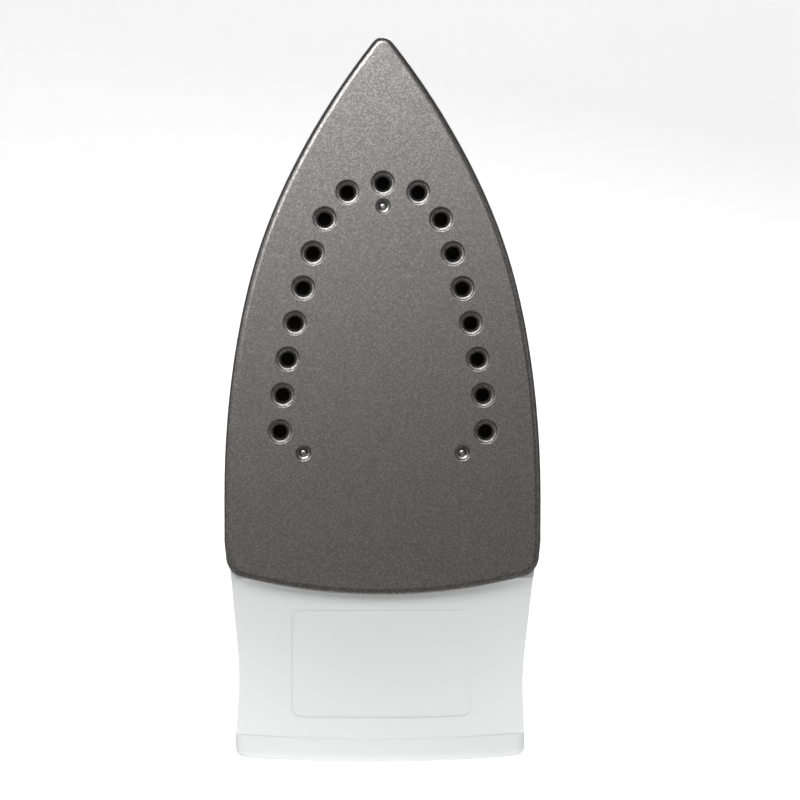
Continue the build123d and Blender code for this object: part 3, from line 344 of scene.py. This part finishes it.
class StageSettings(bpy.types.PropertyGroup):
    glow: bpy.props.FloatProperty(
        name="Backdrop glow", description="Light given off by the floor and the cove", default=0.55)
    hush: bpy.props.FloatProperty(
        name="Hush", description="Share of the floor's light kept out of reflections", default=0.9,
        min=0, max=1)
    ambient: bpy.props.FloatProperty(
        name="Ambient", description="Light from all round", default=0.07)
    aim_x: bpy.props.FloatProperty(
        name="Aim across", description="Where the camera looks on the sole, across it", default=0.0063,
        unit="LENGTH")
    aim_z: bpy.props.FloatProperty(
        name="Aim height", description="Height of the point that the camera looks at", default=0.1367,
        unit="LENGTH")
    swing: bpy.props.FloatProperty(
        name="Swing", description="Angle of the camera round the iron, to the left", default=2.3)
    overhead: bpy.props.FloatProperty(
        name="Overhead box", description="Power of the box above the camera", default=10.5, unit="POWER")
    left: bpy.props.FloatProperty(
        name="Left box", description="Power of the box on the left", default=1.2, unit="POWER")
    right: bpy.props.FloatProperty(
        name="Right box", description="Power of the box on the right", default=0.8, unit="POWER")
    back: bpy.props.FloatProperty(
        name="Back box", description="Power of the box behind", default=9.0, unit="POWER")


# ---------------------------------------------------------------- operators
def dress(names, material):
    """Give CAD nodes one material."""
    for name in names.split():
        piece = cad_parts[name]
        if not piece.material_slots:
            piece.data.materials.append(material)
        for place in piece.material_slots:
            place.material = material


class IRON_OT_sole(bpy.types.Operator):
    """Coat the soleplate."""
    bl_idname = "iron.sole"
    bl_label = "Soleplate"

    def execute(self, context):
        looks = context.scene.iron_sole
        dress("soleplate", coated("sole_coating", looks.base, looks.flake, looks.flake_size, 1.0))
        return {"FINISHED"}


class IRON_OT_shells(bpy.types.Operator):
    """Finish the white shells, the tank, the grip and the controls."""
    bl_idname = "iron.shells"
    bl_label = "Shells and tank"

    def execute(self, context):
        looks = context.scene.iron_shells
        white = grained("white_shell", looks.white, 0.36, contrast=0.03, bump=0.08, coat=0.0)
        dress("skirt housing rear_cover handle_cover", white)
        tank = grained("tank_tint", looks.tank, 0.08, contrast=0.0, patch_contrast=0.02, bump=0.0,
                       Transmission_Weight=0.8, IOR=1.49)
        dress("tank_lower tank_upper", tank)
        dress("fill_door temperature_dial", grained("control_white", (0.74, 0.74, 0.73), 0.3, contrast=0.03))
        dress("dial_scale", grained("scale_print", (0.55, 0.57, 0.6), 0.4))
        dress("grip_pad", grained("grip_rubber", looks.grip, 0.62, grain=2200.0, contrast=0.12, bump=0.3))
        dress("cord_gland", grained("gland_rubber", (0.03, 0.032, 0.035), 0.55, bump=0.2))
        dress("steam_knob spray_button burst_button spray_nozzle",
              grained("control_grey", looks.control, 0.38, contrast=0.05, bump=0.12))
        dress("pilot_lens", grained("lens_orange", (0.9, 0.22, 0.05), 0.12, contrast=0.0, bump=0.0,
                                    Transmission_Weight=0.6))
        return {"FINISHED"}


class IRON_OT_inside(bpy.types.Operator):
    """Finish the pieces inside the body."""
    bl_idname = "iron.inside"
    bl_label = "Inner pieces"

    def execute(self, context):
        steel = dict(grain=900.0, contrast=0.08, metallic=1.0, spread=0.15)
        dress("element_terminals chamber_rivets thermostat_base thermostat_rivet spindle_bracket "
              "thermal_fuse sole_screws fill_door_pin rear_cover_screws handle_screws pump_bracket",
              grained("steel", (0.56, 0.56, 0.55), 0.32, **steel))
        dress("spray_spring burst_spring", grained("spring_steel", (0.62, 0.62, 0.6), 0.22, **steel))
        dress("heating_element", grained("element_steel", (0.12, 0.1, 0.09), 0.5, **steel))
        dress("chamber_cover", grained("stamped_aluminium", (0.09, 0.085, 0.08), 0.5, **steel))
        dress("thermostat_blades terminal_screws thermostat_spindle steam_rod",
              grained("brass", (0.62, 0.43, 0.17), 0.3, **steel))
        dress("thermostat_insulators", grained("insulator", (0.72, 0.68, 0.58), 0.3))
        dress("chamber_seal drip_seat rod_gland", grained("silicone", (0.52, 0.12, 0.06), 0.5, contrast=0.1))
        dress("pump_intake_tubes spray_tube burst_tube", grained("tube_silicone", (0.62, 0.62, 0.57), 0.35,
                                                                 Transmission_Weight=0.5))
        dress("spray_pump burst_pump spray_piston burst_piston",
              grained("pump_plastic", (0.66, 0.68, 0.64), 0.4, contrast=0.06))
        dress("terminal_block", grained("terminal_plastic", (0.74, 0.72, 0.66), 0.4, contrast=0.06))
        dress("lead_live lead_link", grained("lead_brown", (0.12, 0.045, 0.02), 0.45))
        dress("lead_neutral", grained("lead_blue", (0.02, 0.06, 0.3), 0.45))
        dress("lead_earth", grained("lead_green", (0.1, 0.3, 0.03), 0.45))
        dress("pilot_lamp", grained("lamp_glass", (0.9, 0.84, 0.78), 0.05, bump=0.0, Transmission_Weight=0.9))
        return {"FINISHED"}


def added(name, points, faces, material, body, smooth=True):
    """New piece on a body, with its material."""
    piece = make_piece(name, points, faces, material, smooth)
    closed_right_way(piece)
    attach(piece, body)
    return piece


class IRON_OT_grip_ribs(bpy.types.Operator):
    """Low ribs across the soft grip: height = rise * (1 - u^2)(1 - v^8), u along the iron, v across it."""
    bl_idname = "iron.grip_ribs"
    bl_label = "Grip ribs"

    def execute(self, context):
        looks = context.scene.iron_marks
        side_margin, end_margin = 2.2 * MM, 7 * MM
        buried_edge = 0.03 * MM
        shortening = 0.16  # of the outermost ribs, whose ends follow the pad's rounded outline
        low, high = np.array(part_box("grip_pad"))
        u, v = np.meshgrid(np.linspace(-1, 1, 9), np.linspace(-1, 1, 41), indexing="ij")
        half = (high[0] - low[0]) / 2 - side_margin
        ribs = []
        for share in np.linspace(-1, 1, looks.ribs):
            middle = (low[2] + high[2]) / 2 + share * ((high[2] - low[2]) / 2 - end_margin)
            reach = half * (1 - shortening * np.abs(share) ** 3)
            x, z = v * reach, middle + u * looks.rib_width / 2
            face = heights_on("grip_pad", x, z)
            rise = looks.rib_rise * (1 - u**2) * (1 - v**8)
            ribs.append(slab(x, z, face - BEDDED, face - buried_edge + rise))
        points, faces = joined(ribs)
        rubber = grained("grip_rib_rubber", context.scene.iron_shells.grip, 0.66, grain=2200.0, contrast=0.12,
                         bump=0.3)
        added("grip_ribs", points, faces, rubber, "body")
        return {"FINISHED"}


def number_mesh(count, size, depth):
    """Mesh of a centred number, lying in its own x and y, and its points as an array."""
    label = bpy.data.curves.new("number", "FONT")
    label.body = str(count)
    label.size = size
    label.align_x, label.align_y = "CENTER", "CENTER"
    label.extrude = depth
    plain = bpy.data.objects.new("number", label)
    bpy.context.collection.objects.link(plain)
    mesh = bpy.data.meshes.new_from_object(plain.evaluated_get(bpy.context.evaluated_depsgraph_get()))
    bpy.data.objects.remove(plain)
    flat = np.empty(len(mesh.vertices) * 3)
    mesh.vertices.foreach_get("co", flat)
    return mesh, flat.reshape(-1, 3)


class IRON_OT_dial_marks(bpy.types.Operator):
    """Printed ring round the dial: a wedge that widens with the heat, ticks and numbers."""
    bl_idname = "iron.dial_marks"
    bl_label = "Dial marks"

    def execute(self, context):
        looks = context.scene.iron_marks
        low, high = np.array(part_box("dial_scale"))
        centre = (low + high) / 2
        top = high[1]
        edge = (high[0] - low[0]) / 2 - 0.5 * MM
        ink = grained("scale_ink", looks.ink, 0.42, contrast=0.08, bump=0.05)
        # Angles in degrees from the pointer's rest, and depths in from the wedge's outer edge.
        wedge_start, ticks_start, scale_end = 24, 30, 262
        number_angles = (70, 148, 226, scale_end)
        thin, thick = 0.25 * MM, 1.5 * MM
        tick_depths = (2.8 * MM, 1.8 * MM)
        number_depth = 3.9 * MM

        def arc(first, last, inside, outside, steps):
            """Pad on the ring between two angles, from inside, a radius for each end, to outside."""
            turn, across = np.meshgrid(np.radians(np.linspace(first, last, steps)), np.array([0.0, 1.0]),
                                       indexing="ij")
            share = (turn - turn[0]) / (turn[-1] - turn[0])
            inner = inside[0] + (inside[1] - inside[0]) * share
            radius = inner + (outside - inner) * across
            x, z = centre[0] - radius * np.sin(turn), centre[2] - radius * np.cos(turn)
            return slab(x, z, np.full_like(x, top - 0.2 * MM), np.full_like(x, top + looks.ink_rise))

        wedge = arc(wedge_start, scale_end, (edge - thin, edge - thick), edge, 96)
        ticks = [arc(angle - 0.5, angle + 0.5, (edge - tick_depths[0],) * 2, edge - tick_depths[1], 3)
                 for angle in np.linspace(ticks_start, scale_end, 30)]
        points, faces = joined([wedge] + ticks)
        added("dial_scale_marks", points, faces, ink, "body", smooth=False)
        for count, angle in enumerate(number_angles, start=1):
            mesh, flat = number_mesh(count, size=3.2 * MM, depth=0.12 * MM)
            # The number's foot is towards the dial: its own x runs round, its own y outwards.
            turn = np.radians(angle)
            out = np.array([-np.sin(turn), 0, -np.cos(turn)])
            along = np.array([np.cos(turn), 0, -np.sin(turn)])
            base = np.array([centre[0], top, centre[2]]) + out * (edge - number_depth)
            placed = base + flat[:, :1] * along + flat[:, 1:2] * out + flat[:, 2:] * np.array([0, 1, 0])
            mesh.vertices.foreach_set("co", placed.ravel())
            mesh.materials.clear()
            mesh.materials.append(ink)
            mesh.update()
            number = bpy.data.objects.new(f"dial_number_{count}", mesh)
            bpy.context.collection.objects.link(number)
            closed_right_way(number)
            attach(number, "body")
        return {"FINISHED"}


class IRON_OT_button_marks(bpy.types.Operator):
    """Raised marks on the two buttons: a fan of spray dots on one, three steam plumes on the other."""
    bl_idname = "iron.button_marks"
    bl_label = "Button marks"

    def execute(self, context):
        looks = context.scene.iron_marks
        pale = grained("button_print", looks.button_ink, 0.4, contrast=0.05, bump=0.05)
        proud = 0.18 * MM
        # Plumes: strips of width 1.1 (1.02 - t^4) mm along x = 0.7 sin(pi t) mm, t from -1 to 1 along them.
        plume_half_length, plume_sway, plume_width, plume_spacing = 4.6 * MM, 0.7 * MM, 1.1 * MM, 2.9 * MM
        low, high = np.array(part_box("burst_button"))
        middle = (low + high) / 2
        t, side = np.meshgrid(np.linspace(-1, 1, 33), np.linspace(-0.5, 0.5, 5), indexing="ij")
        plumes = []
        for shift in (-1, 0, 1):
            sway = plume_sway * np.sin(np.pi * t) + plume_width * side * (1.02 - t**4)
            x, z = middle[0] + shift * plume_spacing + sway, middle[2] + plume_half_length * t
            face = heights_on("burst_button", x, z)
            plumes.append(slab(x, z, face - BEDDED, face + proud))
        points, faces = joined(plumes)
        added("burst_button_plumes", points, faces, pale, "burst_control")
        # Drops: discs of radius r in polar rings, rows of them fanning out towards the nose.
        drop_radius, drop_growth, drop_spread = 0.45 * MM, 0.08 * MM, 1.15 * MM
        first_row, row_spacing = -4.4 * MM, 2.9 * MM
        low, high = np.array(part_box("spray_button"))
        middle = (low + high) / 2
        spoke, turn = np.meshgrid(np.linspace(0.02, 1, 5), np.linspace(0, 2 * np.pi, 25), indexing="ij")
        drops = []
        for row in range(4):
            reach = drop_radius + drop_growth * row
            for spot in np.linspace(-1, 1, row + 1) if row else (0.0,):
                x = middle[0] + spot * row * drop_spread + reach * spoke * np.cos(turn)
                z = middle[2] + first_row + row_spacing * row + reach * spoke * np.sin(turn)
                face = heights_on("spray_button", x, z)
                drops.append(slab(x, z, face - BEDDED, face + proud * (1.15 - 0.9 * spoke**4)))
        points, faces = joined(drops)
        added("spray_button_drops", points, faces, pale, "spray_control")
        return {"FINISHED"}


class IRON_OT_stage(bpy.types.Operator):
    """Lay the pale floor with its cove, and set the lights and the camera."""
    bl_idname = "iron.stage"
    bl_label = "Stage"

    def execute(self, context):
        scene = context.scene
        looks = scene.iron_stage
        # Cove: flat floor, then a quarter round of radius 1 up into a flat wall, carried along X.
        floor_front, bend_start, wall_top, half_width = -0.75, 0.9, 4.0, 5.0
        turn = np.linspace(0, np.pi / 2, 24)
        y = np.concatenate([[floor_front, 0.0], bend_start + np.sin(turn), [bend_start + 1.0]])
        z = np.concatenate([[0.0, 0.0], 1.0 - np.cos(turn), [wall_top]])
        x = np.array([-half_width, half_width])
        grid = np.stack(np.broadcast_arrays(x[:, None], y[None, :], z[None, :]), axis=-1)
        pale, tree, bsdf, place = shader("studio_paper")
        split = tree.nodes.new("ShaderNodeSeparateXYZ")
        tree.links.new(place, split.inputs[0])
        behind = node(tree, "ShaderNodeMapRange", {"interpolation_type": "SMOOTHSTEP"}, From_Min=-0.2,
                      From_Max=-0.13)
        tree.links.new(split.outputs["Y"], behind.inputs["Value"])
        # Mirror-like surfaces see the floor as dark paper, so that polished rims keep their dark edge.
        rays = tree.nodes.new("ShaderNodeLightPath").outputs
        hushed = math_node(tree, "MULTIPLY", rays["Is Glossy Ray"], looks.hush)
        kept = math_node(tree, "SUBTRACT", 1.0, hushed)
        share = math_node(tree, "MAXIMUM", math_node(tree, "MULTIPLY", behind.outputs[0], kept),
                          rays["Is Camera Ray"])
        tones = tree.nodes.new("ShaderNodeMix")
        tones.data_type = "RGBA"
        tones.inputs[6].default_value = (0.1, 0.1, 0.1, 1)
        tones.inputs[7].default_value = (0.92, 0.92, 0.92, 1)
        tree.links.new(share, tones.inputs["Factor"])
        tree.links.new(tones.outputs[2], bsdf.inputs["Base Color"])
        bsdf.inputs["Roughness"].default_value = 0.9
        bsdf.inputs["Emission Color"].default_value = (1, 1, 1, 1)
        tree.links.new(math_node(tree, "MULTIPLY", share, looks.glow), bsdf.inputs["Emission Strength"])
        make_piece("studio_floor", grid, sheet_faces(2, len(y))[:, ::-1], pale)
        # White to the camera and through the tank, dim as a light, so that the boxes below shape the iron.
        world = bpy.data.worlds.new("studio")
        world.use_nodes = True
        sky = world.node_tree
        back = sky.nodes["Background"]
        back.inputs["Color"].default_value = (1, 1, 1, 1)
        rays = sky.nodes.new("ShaderNodeLightPath").outputs
        plain = math_node(sky, "MAXIMUM", rays["Is Camera Ray"], rays["Is Transmission Ray"])
        seen = math_node(sky, "MULTIPLY", plain, 1.0 - looks.ambient)
        sky.links.new(math_node(sky, "ADD", seen, looks.ambient), back.inputs["Strength"])
        scene.world = world
        for name, place, aim, width, height, power in (
            ("overhead", (-0.26, -1.12, 0.82), (-0.03, -0.066, 0.22), 0.9, 0.6, looks.overhead),
            ("left", (-1.25, -0.55, 0.45), (0.0, -0.03, 0.1), 0.8, 0.9, looks.left),
            ("right", (1.25, -0.6, 0.4), (0.0, -0.03, 0.1), 0.8, 0.9, looks.right),
            ("back", (0.3, 0.95, 1.15), (0.0, 0.0, 0.12), 0.8, 0.8, looks.back),
        ):
            data = bpy.data.lights.new(name, "AREA")
            data.shape = "RECTANGLE"
            data.size = width
            data.size_y = height
            data.energy = power
            lamp = bpy.data.objects.new(name, data)
            lamp.location = place
            way = np.array(place) - np.array(aim)
            yaw, pitch = np.arctan2(way[0], -way[1]), np.arctan2(np.hypot(way[0], way[1]), way[2])
            lamp.rotation_euler = (pitch, 0, yaw)
            scene.collection.objects.link(lamp)
        camera = bpy.data.objects.new("camera", bpy.data.cameras.new("camera"))
        camera.data.lens = 120.9
        camera.data.sensor_width = 36.0
        swing = np.radians(looks.swing)
        camera.location = (looks.aim_x - np.sin(swing), SOLE_PLANE - np.cos(swing), looks.aim_z)
        camera.rotation_euler = (np.pi / 2, 0, -swing)
        scene.collection.objects.link(camera)
        scene.camera = camera
        scene.view_settings.view_transform = "Standard"
        return {"FINISHED"}


OPERATORS = (IRON_OT_sole, IRON_OT_shells, IRON_OT_inside, IRON_OT_grip_ribs, IRON_OT_dial_marks,
             IRON_OT_button_marks, IRON_OT_stage)


class IRON_PT_panel(bpy.types.Panel):
    """Iron pieces and their settings."""
    bl_label = "Iron"
    bl_idname = "IRON_PT_panel"
    bl_space_type = "VIEW_3D"
    bl_region_type = "UI"
    bl_category = "Iron"

    def draw(self, context):
        scene = context.scene
        for settings in (scene.iron_sole, scene.iron_shells, scene.iron_marks, scene.iron_stage):
            for key in settings.__annotations__:
                self.layout.prop(settings, key)
        for operator in OPERATORS:
            self.layout.operator(operator.bl_idname)


CLASSES = (SoleSettings, ShellSettings, MarkSettings, StageSettings, *OPERATORS, IRON_PT_panel)


def register():
    for made in CLASSES:
        bpy.utils.register_class(made)
    bpy.types.Scene.iron_sole = bpy.props.PointerProperty(type=SoleSettings)
    bpy.types.Scene.iron_shells = bpy.props.PointerProperty(type=ShellSettings)
    bpy.types.Scene.iron_marks = bpy.props.PointerProperty(type=MarkSettings)
    bpy.types.Scene.iron_stage = bpy.props.PointerProperty(type=StageSettings)


def unregister():
    del bpy.types.Scene.iron_stage
    del bpy.types.Scene.iron_marks
    del bpy.types.Scene.iron_shells
    del bpy.types.Scene.iron_sole
    for made in reversed(CLASSES):
        bpy.utils.unregister_class(made)


def main():
    register()
    for operator in OPERATORS:
        group, action = operator.bl_idname.split(".")
        getattr(getattr(bpy.ops, group), action)()


if __name__ == "__main__":
    main()
